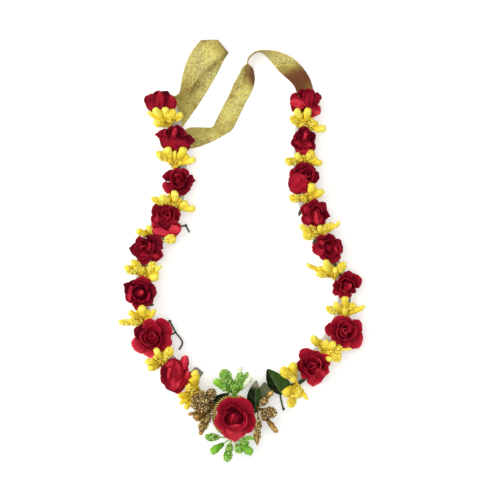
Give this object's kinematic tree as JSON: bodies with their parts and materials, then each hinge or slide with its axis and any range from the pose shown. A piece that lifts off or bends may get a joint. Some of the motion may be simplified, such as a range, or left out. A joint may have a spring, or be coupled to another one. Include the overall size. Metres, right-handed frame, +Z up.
{
  "type": "flower garland",
  "caption": "Necklace garland of crimson paper roses and yellow stamen buds on taped stems, with green and gold buds round a large centre rose and a gold tie ribbon.",
  "frame": {"origin": "bottom centre of the bounding box, on the surface that the garland lies on", "axes": "+Y along the garland from the large centre rose to the tie ribbon, +Z up out of the flower faces, +X to the right arm as seen from above"},
  "size_m": [0.1535, 0.2625, 0.0166],
  "materials": {
    "rose_paper": "soft matte crimson paper, brighter on the outer petals",
    "yellow_bud": "matte, smooth or crinkled",
    "green_bud": "matte with glitter grains",
    "gold_bud": "satin with gold glitter grains",
    "leaf_cloth": "stiffened cloth with a low sheen",
    "stem_tape": "wound paper tape",
    "backing_band": "pale grey woven band",
    "ribbon_cloth": "woven metallic gold",
    "rim_cord": "twisted metallic gold cord"
  },
  "bodies": {
    "root": {"rose_left_1": "rose_paper", "rose_left_2": "rose_paper", "rose_left_3": "rose_paper", "rose_left_4": "rose_paper", "rose_left_5": "rose_paper", "rose_left_6": "rose_paper", "rose_left_7": "rose_paper", "rose_left_8": "rose_paper", "rose_right_1": "rose_paper", "rose_right_2": "rose_paper", "rose_right_3": "rose_paper", "rose_right_4": "rose_paper", "rose_right_5": "rose_paper", "rose_right_6": "rose_paper", "rose_right_7": "rose_paper", "rose_right_8": "rose_paper", "rose_centre": "rose_paper", "ribbon": "ribbon_cloth", "band_left": "backing_band", "band_right": "backing_band", "stem_left": "stem_tape", "stem_right": "stem_tape", "cord_rim": "rim_cord", "buds_left_1": "yellow_bud", "buds_left_2": "yellow_bud", "buds_left_3": "yellow_bud", "buds_left_4": "yellow_bud", "buds_left_5": "yellow_bud", "buds_left_6": "yellow_bud", "buds_left_7": "yellow_bud", "buds_left_8": "yellow_bud", "buds_right_1": "yellow_bud", "buds_right_2": "yellow_bud", "buds_right_3": "yellow_bud", "buds_right_4": "yellow_bud", "buds_right_5": "yellow_bud", "buds_right_6": "yellow_bud", "buds_right_7": "yellow_bud", "buds_right_8": "yellow_bud", "green_buds_top": "green_bud", "green_buds_bottom": "green_bud", "gold_buds_left": "gold_bud", "gold_buds_right": "gold_bud", "leaf_upright": "leaf_cloth", "leaf_behind": "leaf_cloth", "leaf_broad": "leaf_cloth", "leaf_left": "leaf_cloth"}
  },
  "joints": []
}
